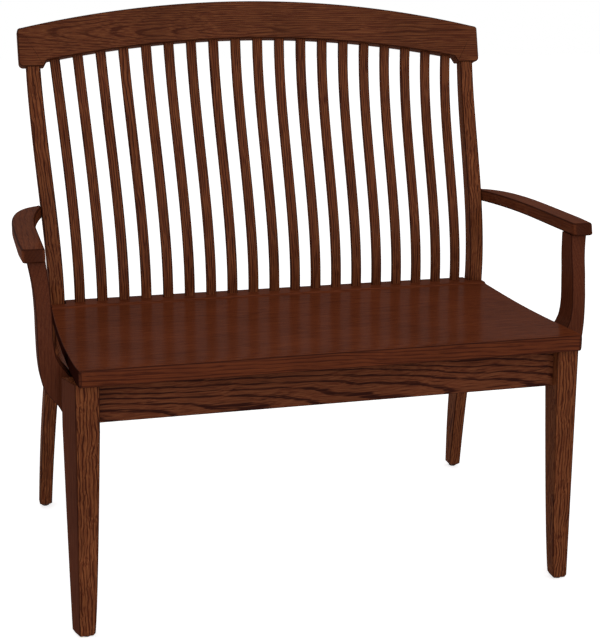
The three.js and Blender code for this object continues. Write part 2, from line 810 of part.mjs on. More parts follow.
// The leg bolt runs through the gap between the ends of the two aprons.
function legBolt(grow) {
  const throughX = (legInnerAt(legTop) + sideApronInner) / 2;
  const throughY = (frontApronRear + legRear) / 2;
  const blockFace = frontApronRear - sideApronInner + blockLeg + 3 * fit;
  const back = (blockFace - throughY + throughX) / 2;
  const from = new THREE.Vector3(
    throughX - back, throughY + back, apronTop - blockHeight + legBoltRise);
  return aimed(turned(boltProfile(legBoltLength, grow)), from, new THREE.Vector3(1, -1, 0));
}

// The two bolts that hold a support to the side apron, from inside the frame.
function supportBolts(grow) {
  return supportBoltShares.map((share) => {
    const from = new THREE.Vector3(
      sideApronInner - fit, supportFront + supportBoltSetback, apronBottom + apronHeight * share);
    const shape = turned(boltProfile(supportBoltLength, grow));
    return solid(aimed(shape, from, new THREE.Vector3(1, 0, 0)));
  });
}

function cornerBlock(atFront) {
  const block = alongZ(atFront ? frontBlockPlan() : rearBlockPlan(), apronTop - blockHeight, apronTop);
  const carrier = atFront ? legBlank(fit) : postBlank(fit);
  const place = seatScrewPlace(atFront);
  const bore = turned([
    [0, 0], [counterboreRadius, 0], [counterboreRadius, blockHeight], [0, blockHeight],
  ]);
  const counterbore = solid(bore.translate(place.x, place.y, place.z + screwHeadHeight - blockHeight));
  const cut = block.subtract(carrier).subtract(counterbore).subtract(solid(seatScrew(atFront, fit)));
  return atFront ? cut.subtract(solid(legBolt(fit))) : cut;
}

// Glides under the feet

function glideProfile(grow) {
  return [
    [0, -grow], [glideRadius - glideThickness / 2, -grow], [glideRadius, glideThickness / 2],
    [glideRadius, glideThickness - fit], [nailRadius + grow, glideThickness - fit],
    [nailRadius + grow, glideThickness + nailLength - nailRadius + grow],
    [0, glideThickness + nailLength + grow],
  ];
}

function glidePlace(atFront) {
  if (atFront) {
    return [
      (legInnerAt(glideThickness) + legOuterAt(glideThickness)) / 2,
      (legSetback + legRearAt(glideThickness)) / 2, 0,
    ];
  }
  return [postCentre(glideThickness), postFace(glideThickness) + postDepthAt(glideThickness) / 2, 0];
}

function nailSpace(atFront) {
  const nail = turned([
    [0, 0], [nailRadius + fit, 0], [nailRadius + fit, glideThickness + nailLength + fit],
    [0, glideThickness + nailLength + fit],
  ]);
  return solid(nail.translate(...glidePlace(atFront)));
}

// Assembly

const bench = new THREE.Group();
const leftSide = new THREE.Group(); // mirror of the right-hand pieces
leftSide.scale.x = -1;
bench.add(leftSide);

function addPiece(name, geometry, material, group = bench) {
  const mesh = new THREE.Mesh(geometry, material);
  mesh.name = name;
  group.add(mesh);
}

function addPair(name, geometry, material) {
  addPiece(`${name}_right`, geometry, material());
  addPiece(`${name}_left`, geometry, material(), leftSide);
}

const slatIndexes = Array.from({ length: slatCount }, (_, i) => i);
const slatMortises = slatIndexes.map((i) => slatBlank(i, fit));

const seat = seatPanel(slatMortises)
  .subtract(solid(seatScrew(true, fit))).subtract(mirrored(solid(seatScrew(true, fit))))
  .subtract(solid(seatScrew(false, fit))).subtract(mirrored(solid(seatScrew(false, fit))));
addPiece("seat", geometryOf(seat), oakMaterial());
addPiece("crest_rail", geometryOf(crestRail(slatMortises)), oakMaterial());
slatIndexes.forEach((i) => {
  const number = String(i + 1).padStart(2, "0");
  addPiece(`back_slat_${number}`, geometryOf(slatBlank(i, 0)), oakMaterial());
});

const post = postBlank(0)
  .subtract(crestSpace()).add(postTenon(0))
  .subtract(sideRearTenon(fit)).subtract(rearTenon(fit))
  .subtract(dowelSpace(fit)).subtract(nailSpace(false));
addPair("rear_post", geometryOf(post), oakMaterial);

const frontLeg = legBlank(0)
  .subtract(frontTenon(fit)).subtract(sideFrontTenon(fit))
  .subtract(solid(legBolt(fit))).subtract(nailSpace(true));
addPair("front_leg", geometryOf(frontLeg), oakMaterial);

addPiece("front_apron", geometryOf(frontApron()), oakMaterial());
addPiece("rear_apron", geometryOf(rearApron()), oakMaterial());
addPair("side_apron", geometryOf(sideApron()), oakMaterial);
addPiece("centre_rail", geometryOf(centreRail()), hiddenOakMaterial());
addPair("arm", geometryOf(arm()), oakMaterial);
addPair("arm_support", geometryOf(armSupport()), oakMaterial);
addPair("arm_dowel", geometryOf(dowelSpace(0)), hiddenOakMaterial);

for (const [end, atFront] of [["front", true], ["rear", false]]) {
  addPair(`${end}_corner_block`, geometryOf(cornerBlock(atFront)), hiddenOakMaterial);
  addPair(`${end}_seat_screw`, geometryOf(solid(seatScrew(atFront, 0))), steelMaterial);
  const glide = solid(turned(glideProfile(0)).translate(...glidePlace(atFront)));
  addPair(`${end}_glide`, geometryOf(glide), nylonMaterial);
}
addPair("leg_bolt", geometryOf(solid(legBolt(0))), steelMaterial);
supportBolts(0).forEach((bolt, i) => {
  addPair(`${i === 0 ? "lower" : "upper"}_support_bolt`, geometryOf(bolt), steelMaterial);
});

// The part's origin is on the floor, under the middle of its bounding box.
bench.updateMatrixWorld(true);
const reach = new THREE.Box3().setFromObject(bench);
bench.position.set(0, -(reach.min.y + reach.max.y) / 2, -reach.min.z);
bench.updateMatrixWorld(true);

export default bench;
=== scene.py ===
import json
import math

import bmesh
import bpy
import numpy as np
from mathutils import Matrix, Vector

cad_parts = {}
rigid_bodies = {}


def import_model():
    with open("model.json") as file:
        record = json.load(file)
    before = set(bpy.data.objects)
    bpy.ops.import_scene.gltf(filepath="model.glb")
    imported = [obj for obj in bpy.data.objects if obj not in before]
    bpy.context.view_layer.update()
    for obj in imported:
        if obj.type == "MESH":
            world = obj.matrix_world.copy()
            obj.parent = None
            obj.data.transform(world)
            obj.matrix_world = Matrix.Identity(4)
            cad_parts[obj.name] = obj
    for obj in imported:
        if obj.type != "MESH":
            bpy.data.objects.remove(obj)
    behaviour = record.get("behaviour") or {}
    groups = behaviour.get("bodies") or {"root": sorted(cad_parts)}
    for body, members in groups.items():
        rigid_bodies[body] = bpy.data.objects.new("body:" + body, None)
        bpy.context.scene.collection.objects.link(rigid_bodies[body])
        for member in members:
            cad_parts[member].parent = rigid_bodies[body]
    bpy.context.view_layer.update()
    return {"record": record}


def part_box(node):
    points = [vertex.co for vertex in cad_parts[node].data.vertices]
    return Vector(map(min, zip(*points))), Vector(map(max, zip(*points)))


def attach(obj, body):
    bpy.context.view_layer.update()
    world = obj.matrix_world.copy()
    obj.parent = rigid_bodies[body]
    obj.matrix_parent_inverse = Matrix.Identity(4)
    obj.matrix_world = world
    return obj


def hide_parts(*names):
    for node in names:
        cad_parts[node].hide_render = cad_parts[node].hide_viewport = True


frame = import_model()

seat_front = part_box("seat")[0][1]  # metres

# Seat and apron frame
seat_top = 464.0
seat_bottom = seat_top - 28
seat_depth = 466.0
seat_corner = 425.0  # half the width at the front edge
side_bow = 8.0
side_bow_power = 0.45
side_round = 3  # the arrises of the sides are rounded in by this
side_band = 8  # over this much of the height
rear_drop = 7.0
scoop_depth = 8.0
scoop_front = 12.0
scoop_end = seat_depth + 9
ledge_top = seat_top - rear_drop
ledge_front = 421.0
ledge_ramp = 6.0
fit = 0.3  # clearance in a joint
apron_top = seat_bottom - fit
apron_bottom = apron_top - 70.5
apron_depths = (35.0, 55.0)
rear_apron_depths = (446.0, 464.0)
side_apron_across = (399.4, 419.4)
apron_arris = 1.6
apron_heart = 400.0  # height from which the grain of the aprons is counted

# Front legs
leg_front = 18.0
leg_depth = 45.0
leg_width = 38.0
leg_foot_width = 25.0
leg_foot_depth = 24.0
leg_splay = 7.0
leg_flare = 0.38
leg_inner_power = 0.6
leg_rear_power = 0.85
leg_chamfer = 2.5
leg_arris = 2.0
leg_middle = 410.0
leg_block_end = apron_bottom - 8
foot_height = 3.0
foot_steps = foot_height + np.array([0, 2.5, 5])  # heights of the chamfer round a foot
above_foot = 12.0

# Rear posts and slats
back_height = 423.0
back_lean = 145.0
lean_start = 8.0  # the back stays upright this far above the ledge
lean_run = 1.13
slat_seat_face = 443.0
slat_width = 19.3
slat_thickness = 8.0
slat_count = 19
slat_gap = 18.8
slat_fan_power = 1.85
slat_seat_tenon = 12.0
slat_crest_tenon = 14.0
slat_arris = 2.0
slat_seed = 7
post_lead = 7.0  # the posts' faces stand before the slats by this
post_lead_gain = 4.0
post_foot_width = 24.5
post_seat_width = 27.0
post_top_width = 26.0
post_swell = 1.5
post_bow = 1.6
post_fan = 17.0
post_depths = (25, 28, 24)  # at the floor, the seat and the crest rail
post_calf = 18.5
post_chamfer = 5.0
post_arris = 2.6
post_tip_start = 760.0  # above this the ends of the sections tip to the crest rail's slope
leg_kick = 132.0
kick_splay = 28.0
kick_ease = 0.12
kick_bend = 0.325
lip_height = ledge_top + back_height

# Crest rail, in the plane of the board
crest_half = 457.5
crest_middle_top = 122.0
crest_middle_under = 50.0
crest_top_radius = 2034.0
crest_under_radius = 2137.0
crest_thickness = 26.0
crest_tilt = math.radians(16)
crest_lip = 44.0
crest_cove = 9.0
crest_low_corner = 8.0
crest_top_corner = 6.0
crest_lead = 2.5
crest_arris = 2.6
crest_arches = -60.0  # where along the board the grain's arches close
crest_heart_depth = 6.0
crest_draw_left = 0.065  # how fast the heart of the tree draws away to either side of that place
crest_draw_right = 0.015

# Arms and supports
arm_top = seat_top + 168
arm_under = arm_top - 22
arm_inner = 458.5
arm_outer = 497.5
arm_front = 112.0
arm_corner = 7.0
arm_nose = 8.0
arm_nose_run = 60.0
arm_chin = 3.0
arm_end_heights = (0, 6, 14, 22)  # where the set-back of the front end is given
arm_arris = 3.4
arm_straight_end = 300.0
arm_taper = 2.5
arm_taper_run = 70.0
support_foot = apron_bottom - 4
support_top = arm_under - fit
support_seat = 419.7
support_flare = 59.0
support_front = 93.5
support_rake = 32.0
support_rake_at = ([0, 0.43, 0.59, 0.75, 0.92, 1], [0, 0.03, 0.11, 0.33, 0.8, 1])
support_depth = 38.0
support_foot_more = 12.5
support_foot_more_at = ([0, 0.35, 0.45, 0.59, 0.75, 0.93, 1], [1, 1, 0.74, 0.69, 0.55, 0.11, 0])
support_arris = 2.2
support_outer = np.array([
    [0, 0.37], [0.073, 0.525], [0.138, 0.746], [0.219, 0.915], [0.348, 0.983],
    [0.51, 1], [0.672, 1.0], [0.834, 1.034], [1, 1.144],
])
support_inner = np.array([
    [0, 0], [0.17, 0], [0.212, 0.03], [0.244, 0.1], [0.277, 0.2], [0.309, 0.302], [0.345, 0.403],
    [0.377, 0.471], [0.417, 0.522], [0.478, 0.553], [0.53, 0.567], [0.672, 0.57], [0.834, 0.59], [1, 0.65],
])


# Curves that several pieces share


def soft_step(t):
    """Soft step from 0 to 1: s squared times 3 less twice s."""
    s = np.clip(t, 0, 1)
    return s * s * (3 - 2 * s)


def seat_half(y):
    """Half the seat's width: the corner's plus the bow times a sine raised to the bow's power."""
    return seat_corner + side_bow * np.sin(np.pi * np.clip(y / seat_depth, 0, 1)) ** side_bow_power


def scoop_height(y):
    """Scooped top of the seat: a straight fall to the ledge, less half a sine wave."""
    along = np.clip((y - scoop_front) / (scoop_end - scoop_front), 0, 1)
    return seat_top - rear_drop * y / ledge_front - scoop_depth * np.sin(np.pi * along)


def lean_share(z):
    """Share of the back's lean reached at a height, a soft step that starts a little above the ledge."""
    return soft_step((z - ledge_top - lean_start) / (back_height * lean_run))


def kick_share(z):
    """Share of the rear leg's kick: a parabola for the eased share of the way down, then straight, times
    1 plus the bend times what is left to 1."""
    down = np.maximum(ledge_top - z, 0) / ledge_top
    bent = np.where(down < kick_ease, down**2 / (2 * kick_ease), down - kick_ease / 2)
    straight = bent / (1 - kick_ease / 2)
    return straight * (1 + kick_bend * (1 - straight))


def slat_face(z):
    """Front face of the slats: the place at the seat plus the lean."""
    return slat_seat_face + back_lean * lean_share(z)


def post_face(z):
    """Front face of a post: before the slats, by more towards the crest, plus the kick on the way down."""
    up = np.maximum(z - ledge_top, 0) / back_height
    return slat_face(z) - post_lead - post_lead_gain * up + leg_kick * kick_share(z)


def post_depth(z):
    """Depth of a post: straight between floor, seat and crest rail, plus half a sine wave on the leg."""
    calf = post_calf * np.sin(np.pi * np.clip(z / ledge_top, 0, 1))
    return np.interp(z, [0, ledge_top, lip_height], post_depths) + calf


post_seat_centre = seat_half(slat_seat_face - post_lead) - post_seat_width / 2


def post_centre(z):
    """Middle of the right post seen from the front: the seat's place plus a fan and a sine bow above it
    and a splay below it."""
    up = np.clip((z - ledge_top) / back_height, 0, 1)
    spread = post_fan * lean_share(z) + kick_splay * kick_share(z)
    return post_seat_centre + spread + post_bow * np.sin(np.pi * up)


def post_width(z):
    """Width of a post: straight from foot to seat and on to the crest, with a sine swell above the seat."""
    up = np.clip((z - ledge_top) / back_height, 0, 1)
    below = post_foot_width + (post_seat_width - post_foot_width) * z / ledge_top
    above = post_seat_width - (post_seat_width - post_top_width) * up + post_swell * np.sin(np.pi * up)
    return np.where(z < ledge_top, below, above)


def through(table, along):
    """Smooth curve through a table's points, cubic between them, with each slope taken from the two
    neighbours, read at even steps and returned as values at the places along."""
    slopes = np.gradient(table, axis=0)
    slopes[[0, -1]] /= 2
    t = np.linspace(0, 1, 13)[None, :, None]
    a, b = table[:-1, None], table[1:, None]
    u, v = slopes[:-1, None], slopes[1:, None]
    points = (
        (2 * t**3 - 3 * t**2 + 1) * a + (t**3 - 2 * t**2 + t) * u
        + (3 * t**2 - 2 * t**3) * b + (t**3 - t**2) * v
    ).reshape(-1, 2)
    return np.interp(along, points[:, 0], points[:, 1])


# Surfaces

sharp_from = math.radians(38)  # faces that meet at a wider angle keep a sharp edge
side_facing = 0.6


def round_corners(corners, before, after, steps=3, margin=0.5):
    """Rounds the corners of sections given as (section, corner, 3). Each corner c gives way to the curve
    (1-t)(1-t) a + 2t(1-t) c + t t b between a point a on the edge before it and a point b on the edge
    after it, with one more point on the flat outside each. Also returns 4t(1-t), 1 on the arris."""
    before = np.broadcast_to(before, corners.shape[1])[None, :, None]
    after = np.broadcast_to(after, corners.shape[1])[None, :, None]
    back = np.roll(corners, 1, axis=1) - corners
    ahead = np.roll(corners, -1, axis=1) - corners
    back = back / np.linalg.norm(back, axis=2, keepdims=True)
    ahead = ahead / np.linalg.norm(ahead, axis=2, keepdims=True)
    a, b = corners + back * before, corners + ahead * after
    t = np.linspace(0, 1, steps + 1)[None, None, :, None]
    curve = (1 - t) ** 2 * a[:, :, None] + 2 * t * (1 - t) * corners[:, :, None] + t**2 * b[:, :, None]
    first, last = (a + back * margin)[:, :, None], (b + ahead * margin)[:, :, None]
    rings = np.concatenate([first, curve, last], axis=2)
    arris = np.concatenate([[0], 4 * t.ravel() * (1 - t.ravel()), [0]])
    return rings.reshape(len(corners), -1, 3), np.tile(arris, corners.shape[1])


def edge_profile(thickness, radius, steps=4, margin=0.6):
    """Edge of a board as inset and depth: quarter circles of one radius on both arrises, and a narrow
    flat inside each. Also returns how near each place is to the arris, as the sine of twice its angle."""
    angle = np.linspace(0, np.pi / 2, steps + 1)
    inset = radius * (1 - np.sin(angle))
    depth = radius * (1 - np.cos(angle))
    near = np.sin(2 * angle)
    inset = np.concatenate([[radius + margin], inset, inset[::-1], [radius + margin]])
    depth = np.concatenate([[0], depth, thickness - depth[::-1], [thickness]])
    return inset, depth, np.concatenate([[0], near, near, [0]])


def inset_outline(points, inset):
    """A closed outline (point, 2) moved inwards by each inset along its own normals, which are the
    differences of the neighbours turned a quarter, as (inset, point, 2)."""
    step = np.roll(points, -1, axis=0) - np.roll(points, 1, axis=0)
    normal = np.stack([-step[:, 1], step[:, 0]], axis=1) / np.linalg.norm(step, axis=1, keepdims=True)
    return points[None] + inset[:, None, None] * normal[None]


def arc(centre, radius, start, end, steps=6):
    """Points on a circle about a centre, between two angles in quarter turns."""
    angle = np.linspace(start, end, steps + 1) * np.pi / 2
    return np.stack([centre[0] + radius * np.cos(angle), centre[1] + radius * np.sin(angle)], axis=1)


def bezier(a, b, c, d, steps=14):
    """Points of a cubic curve with ends a and d that leaves towards b and arrives from c."""
    t = np.linspace(0, 1, steps + 1)[:, None]
    a, b, c, d = (np.array(p, dtype=float) for p in (a, b, c, d))
    return (1 - t) ** 3 * a + 3 * t * (1 - t) ** 2 * b + 3 * t**2 * (1 - t) * c + t**3 * d


def srgb(code):
    """Linear colour of an sRGB hex value: c/12.92 in the dark part, ((c+0.055)/1.055)^2.4 above it."""
    parts = np.array([int(code[i:i + 2], 16) for i in (1, 3, 5)]) / 255
    linear = np.where(parts <= 0.04045, parts / 12.92, ((parts + 0.055) / 1.055) ** 2.4)
    return (*(float(v) for v in linear), 1.0)


def solid_piece(name, node, rings, arris, grain, material, mirror=False):
    """Closes rings of points (ring, point, 3) with quads between neighbours, and each end with quads
    between point i and the i-th point from the last. The grain places (along, across, depth) and the
    nearness to an arris go in as attributes."""
    count, around = rings.shape[:2]
    points = rings.reshape(-1, 3) * (-0.001 if mirror else 0.001, 0.001, 0.001) + (0, seat_front, 0)
    index = np.arange(count * around).reshape(count, around)
    ahead = np.roll(index, -1, axis=1)
    quads = np.stack([index[:-1], ahead[:-1], ahead[1:], index[1:]], axis=-1).reshape(-1, 4)
    half = around // 2
    back = index[:, ::-1]
    ends = np.stack([index[:, :half - 1], index[:, 1:half], back[:, 1:half], back[:, :half - 1]], axis=-1)
    faces = [*quads.tolist(), *ends[0, :, ::-1].tolist(), *ends[-1].tolist()]
    mesh = bpy.data.meshes.new(name)
    mesh.from_pydata(points.tolist(), [], faces)
    work = bmesh.new()
    work.from_mesh(mesh)
    bmesh.ops.recalc_face_normals(work, faces=work.faces)
    work.to_mesh(mesh)
    work.free()
    places = mesh.attributes.new("grain", "FLOAT_VECTOR", "POINT")
    places.data.foreach_set("vector", (grain.reshape(-1, 3) * 0.001).astype(np.float32).ravel())
    edge = mesh.attributes.new("edge", "FLOAT", "POINT")
    edge.data.foreach_set("value", np.broadcast_to(arris, (count, around)).astype(np.float32).ravel())
    mesh.shade_smooth()
    mesh.set_sharp_from_angle(angle=sharp_from)
    mesh.materials.append(material)
    piece = bpy.data.objects.new(name, mesh)
    bpy.context.scene.collection.objects.link(piece)
    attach(piece, "root")
    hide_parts(node)
    return piece


def finish_and_shade_outer_sides(piece, material):
    """Gives another finish, darker as painted shade, to the faces that look away from the middle of the
    bench, those whose normal's x, counted outwards, is over a limit."""
    faces = piece.data.polygons
    facing, centre = np.empty((2, 3 * len(faces)), dtype=np.float32)
    faces.foreach_get("normal", facing)
    faces.foreach_get("center", centre)
    piece.data.materials.append(material)
    faces.foreach_set("material_index", (facing[::3] * np.sign(centre[::3]) > side_facing).astype(np.int32))


def heart(along, across, depth, place, taper=0.04, start=0):
    """Grain places of a board: across and depth are counted from the heart of the tree, which lies at
    place (across, depth) from the board and draws away along it by the taper. The start says where in the
    tree's length the board was cut."""
    places = np.broadcast_arrays(along + start, across - place[0], depth - place[1] + taper * along)
    return np.stack(places, axis=-1)


# Materials

# Bends of the grain: how many in a metre along and across, and how far they reach in metres
even = (8, 18, 0.01)
wavy = (16, 36, 0.014)
slow = (6, 18, 0.014)

# Finishes: the stain in the pores, the wood between them darkest and lightest, how strongly the pores
# show, the spacing of the year rings in metres, the bends, and the varnish
finishes = {
    "boards": ("#33140c", "#572918", "#7b472a", 0.95, 0.004, even, 0.035),
    "crest": ("#3a170d", "#532718", "#714126", 0.75, 0.004, even, 0.035),
    "legs": ("#36150c", "#5a2b19", "#824c2d", 0.9, 0.0045, wavy, 0.035),
    "aprons": ("#2f130d", "#552919", "#6d3e27", 1.0, 0.006, slow, 0.035),
    "arms": ("#3a1910", "#582a19", "#6a3922", 0.35, 0.005, even, 0.03),
    "supports": ("#361710", "#4e2517", "#5a2f1e", 0.3, 0.005, even, 0.03),
    "seat": ("#3a170e", "#5f2d1a", "#6e371e", 0.75, 0.005, even, 0.04),
    # End grain, near black: its darker stain, and painted shade on the seat's shaded ends
    "end_grain_and_shade": ("#1c0b08", "#260e09", "#30130c", 0.6, 0.005, even, 0.0),
}

# Patterns: how many go in a metre, along and twice across
pore_dashes = (16, 480, 480)  # 62 by 2 mm, coarser than real ones so that the render shows them
fibres = (14, 900, 900)  # 71 by 1.1 mm, coarser too
sawn_fibres = (60, 60, 420)  # 17 by 17 mm, 2.4 mm high
stain_patches = 8  # 125 mm
zinc_patches = 400  # 2.5 mm
nylon_grain = 900  # 1.1 mm

# Darker arrises and ends: stain that gathers there, and painted shade along the joins between pieces
stain_and_shade_colour = "#260e09"
stain_and_shade_share = 0.85
varnish_ior = 1.5
varnish_roughness = 0.2
front_face_shade = 0.28  # painted shade: the narrow front face of the seat is darkened by this share
# Painted shade and darker stain on the end grain of the arms' front ends
arm_end_stain_and_shade = 0.8
arm_end_depth = 2.5


def add_node(tree, kind, inputs=None, ramp=None, **settings):
    """Adds one node to a material: its settings, its colour ramp, and values or links for its inputs."""
    made = tree.nodes.new(kind)
    for key, value in settings.items():
        setattr(made, key, value)
    if ramp:
        stops = made.color_ramp.elements
        for _ in ramp[2:]:
            stops.new(0.5)
        for stop, (place, code) in zip(stops, ramp):
            stop.position = place
            stop.color = srgb(code) if isinstance(code, str) else (code, code, code, 1)
    for socket, value in (inputs or {}).items():
        if isinstance(value, bpy.types.NodeSocket):
            tree.links.new(value, made.inputs[socket])
        else:
            made.inputs[socket].default_value = value
    return made


def new_material(name):
    """Empty material, and its node tree."""
    made = bpy.data.materials.new(name)
    made.use_nodes = True
    made.node_tree.nodes.clear()
    return made, made.node_tree


def stained_oak(name, pore_stain, dark, light, streaks, year, bends, coat):
    """Flat-sawn red oak, planed, wiped with a dark red-brown stain and brushed with semi-gloss varnish.
    The open pores of each year's early wood take more stain and show as dark dashes that arch along a
    board. Arrises and end grain are darker, partly where stain gathers and partly as painted shade along
    the joins and on shaded ends. All gloss is the varnish's, a soft one."""
    made, tree = new_material(name)
    along, across, reach = bends
    grain = add_node(tree, "ShaderNodeAttribute", attribute_name="grain").outputs["Vector"]
    edge = add_node(tree, "ShaderNodeAttribute", attribute_name="edge").outputs["Fac"]

    # The tree's own bends.
    bend_place = add_node(tree, "ShaderNodeVectorMath", {0: grain, 1: (along, across, across)},
                          operation="MULTIPLY").outputs[0]
    drift = add_node(tree, "ShaderNodeTexNoise",
                     {"Vector": bend_place, "Scale": 1, "Detail": 2, "Roughness": 0.5})
    centred = add_node(tree, "ShaderNodeVectorMath", {0: drift.outputs["Color"], 1: (0.5, 0.5, 0.5)},
                       operation="SUBTRACT").outputs[0]
    warped = add_node(tree, "ShaderNodeVectorMath", {0: centred, 1: (0, reach, reach), 2: grain},
                      operation="MULTIPLY_ADD").outputs[0]

    # Year rings 4 to 6 mm apart, wider than real ones so that the render shows them. Pores crowd the
    # start of each.
    section = add_node(tree, "ShaderNodeVectorMath", {0: warped, 1: (0, 1, 1)},
                       operation="MULTIPLY").outputs[0]
    radius = add_node(tree, "ShaderNodeVectorMath", {0: section}, operation="LENGTH").outputs["Value"]
    years = add_node(tree, "ShaderNodeMath", {0: radius, 1: year}, operation="DIVIDE").outputs[0]
    season = add_node(tree, "ShaderNodeMath", {0: years}, operation="FRACT").outputs[0]
    early = add_node(tree, "ShaderNodeValToRGB", {"Fac": season}, ramp=[
        (0.0, 0.1), (0.1, 1.0), (0.26, 0.9), (0.42, 0.15), (0.92, 0.0), (1.0, 0.1)]).outputs["Color"]

    # Pore dashes, and fibres half as wide.
    pore_place = add_node(tree, "ShaderNodeVectorMath", {0: warped, 1: pore_dashes},
                          operation="MULTIPLY").outputs[0]
    dashes = add_node(tree, "ShaderNodeTexNoise",
                      {"Vector": pore_place, "Scale": 1, "Detail": 2, "Roughness": 0.6}).outputs["Fac"]
    crowd = add_node(tree, "ShaderNodeMath", {0: early, 1: 0.3, 2: dashes},
                     operation="MULTIPLY_ADD").outputs[0]
    pores = add_node(tree, "ShaderNodeMapRange", {"Value": crowd, "From Min": 0.54, "From Max": 0.8},
                     interpolation_type="SMOOTHSTEP").outputs[0]
    fibre_place = add_node(tree, "ShaderNodeVectorMath", {0: warped, 1: fibres},
                           operation="MULTIPLY").outputs[0]
    fibre = add_node(tree, "ShaderNodeTexNoise",
                     {"Vector": fibre_place, "Scale": 1, "Detail": 2}).outputs["Fac"]

    # The stain: darker in the pores, uneven from patch to patch, and gathering on arrises. The arrises also
    # carry painted shade along the joins.
    wood = add_node(tree, "ShaderNodeValToRGB", {"Fac": fibre},
                    ramp=[(0.36, dark), (0.64, light)]).outputs["Color"]
    stained = add_node(tree, "ShaderNodeMath", {0: pores, 1: streaks}, operation="MULTIPLY").outputs[0]
    streaked = add_node(tree, "ShaderNodeMix", {0: stained, 6: wood, 7: srgb(pore_stain)},
                        data_type="RGBA").outputs[2]
    patches = add_node(tree, "ShaderNodeTexNoise",
                       {"Vector": grain, "Scale": stain_patches, "Detail": 2}).outputs["Fac"]
    tone = add_node(tree, "ShaderNodeMapRange", {"Value": patches, "From Min": 0.3, "From Max": 0.7,
                                                 "To Min": 0.88, "To Max": 1.12}).outputs[0]
    toned = add_node(tree, "ShaderNodeMix", {0: 1.0, 6: streaked, 7: tone}, data_type="RGBA",
                     blend_type="MULTIPLY").outputs[2]
    stain_and_shade = add_node(tree, "ShaderNodeMath", {0: edge, 1: stain_and_shade_share}, operation="MULTIPLY").outputs[0]
    colour = add_node(tree, "ShaderNodeMix", {0: stain_and_shade, 6: toned, 7: srgb(stain_and_shade_colour)},
                      data_type="RGBA").outputs[2]

    # Open pores stay a little rougher and lower than the filled wood.
    rough = add_node(tree, "ShaderNodeMapRange",
                     {"Value": pores, "To Min": 0.38, "To Max": 0.55}).outputs[0]
    height = add_node(tree, "ShaderNodeMath", {0: fibre, 1: pores}, operation="SUBTRACT").outputs[0]
    relief = add_node(tree, "ShaderNodeBump",
                      {"Height": height, "Strength": 0.3, "Distance": 0.0004}).outputs[0]
    shader = add_node(tree, "ShaderNodeBsdfPrincipled", {
        "Base Color": colour, "Roughness": rough, "Normal": relief, "IOR": varnish_ior,
        "Specular IOR Level": 0.0, "Coat Weight": coat, "Coat Roughness": varnish_roughness,
        "Coat IOR": varnish_ior})
    add_node(tree, "ShaderNodeOutputMaterial", {"Surface": shader.outputs[0]})
    return made


def thin_stained_oak():
    """Sawn oak behind the aprons, with one thin coat of stain and no varnish: dull, paler and rougher,
    with level fibres."""
    made, tree = new_material("thin_stained_oak")
    place = add_node(tree, "ShaderNodeTexCoord").outputs["Object"]
    fibre_place = add_node(tree, "ShaderNodeVectorMath", {0: place, 1: sawn_fibres},
                           operation="MULTIPLY").outputs[0]
    fibre = add_node(tree, "ShaderNodeTexNoise",
                     {"Vector": fibre_place, "Scale": 1, "Detail": 4}).outputs["Fac"]
    colour = add_node(tree, "ShaderNodeValToRGB", {"Fac": fibre}, ramp=[
        (0.25, "#5c3524"), (0.5, "#7b4d35"), (0.75, "#8d5c42")]).outputs["Color"]
    relief = add_node(tree, "ShaderNodeBump",
                      {"Height": fibre, "Strength": 0.5, "Distance": 0.0005}).outputs[0]
    rough = add_node(tree, "ShaderNodeMapRange", {"Value": fibre, "To Min": 0.8, "To Max": 0.6}).outputs[0]
    shader = add_node(tree, "ShaderNodeBsdfPrincipled",
                      {"Base Color": colour, "Roughness": rough, "Normal": relief})
    add_node(tree, "ShaderNodeOutputMaterial", {"Surface": shader.outputs[0]})
    return made


def zinc_steel():
    """Bright zinc on turned steel: grey with a slightly blue cast, dulled in patches by handling."""
    made, tree = new_material("zinc_steel")
    place = add_node(tree, "ShaderNodeTexCoord").outputs["Object"]
    dull = add_node(tree, "ShaderNodeTexNoise",
                    {"Vector": place, "Scale": zinc_patches, "Detail": 3}).outputs["Fac"]
    colour = add_node(tree, "ShaderNodeValToRGB", {"Fac": dull},
                      ramp=[(0.3, "#9b9d9c"), (0.7, "#c3c6c8")]).outputs["Color"]
    rough = add_node(tree, "ShaderNodeMapRange", {"Value": dull, "To Min": 0.5, "To Max": 0.28}).outputs[0]
    shader = add_node(tree, "ShaderNodeBsdfPrincipled",
                      {"Base Color": colour, "Roughness": rough, "Metallic": 1.0})
    add_node(tree, "ShaderNodeOutputMaterial", {"Surface": shader.outputs[0]})
    return made


def dark_nylon():
    """Moulded nylon glides: dark brown-grey and matt, with a fine moulded grain."""
    made, tree = new_material("dark_nylon")
    place = add_node(tree, "ShaderNodeTexCoord").outputs["Object"]
    speck = add_node(tree, "ShaderNodeTexNoise",
                     {"Vector": place, "Scale": nylon_grain, "Detail": 2}).outputs["Fac"]
    colour = add_node(tree, "ShaderNodeValToRGB", {"Fac": speck},
                      ramp=[(0.35, "#2c2725"), (0.7, "#433c38")]).outputs["Color"]
    relief = add_node(tree, "ShaderNodeBump",
                      {"Height": speck, "Strength": 0.3, "Distance": 0.0002}).outputs[0]
    shader = add_node(tree, "ShaderNodeBsdfPrincipled",
                      {"Base Color": colour, "Roughness": 0.6, "Normal": relief})
    add_node(tree, "ShaderNodeOutputMaterial", {"Surface": shader.outputs[0]})
    return made


# Pieces


def four_corners(left, right, front, rear, z):
    """Corners of horizontal sections between left and right edges, front and rear faces, at heights z.
    A pair in place of a height array gives the front's and the rear's heights."""
    z_front, z_rear = z if isinstance(z, tuple) else (z, z)
    x = np.stack(np.broadcast_arrays(left[0], right[0], right[1], left[1]), axis=1)
    y = np.stack(np.broadcast_arrays(front, front, rear, rear), axis=1)
    h = np.stack(np.broadcast_arrays(z_front, z_front, z_rear, z_rear), axis=1)
    return np.stack([x, y, h], axis=2)


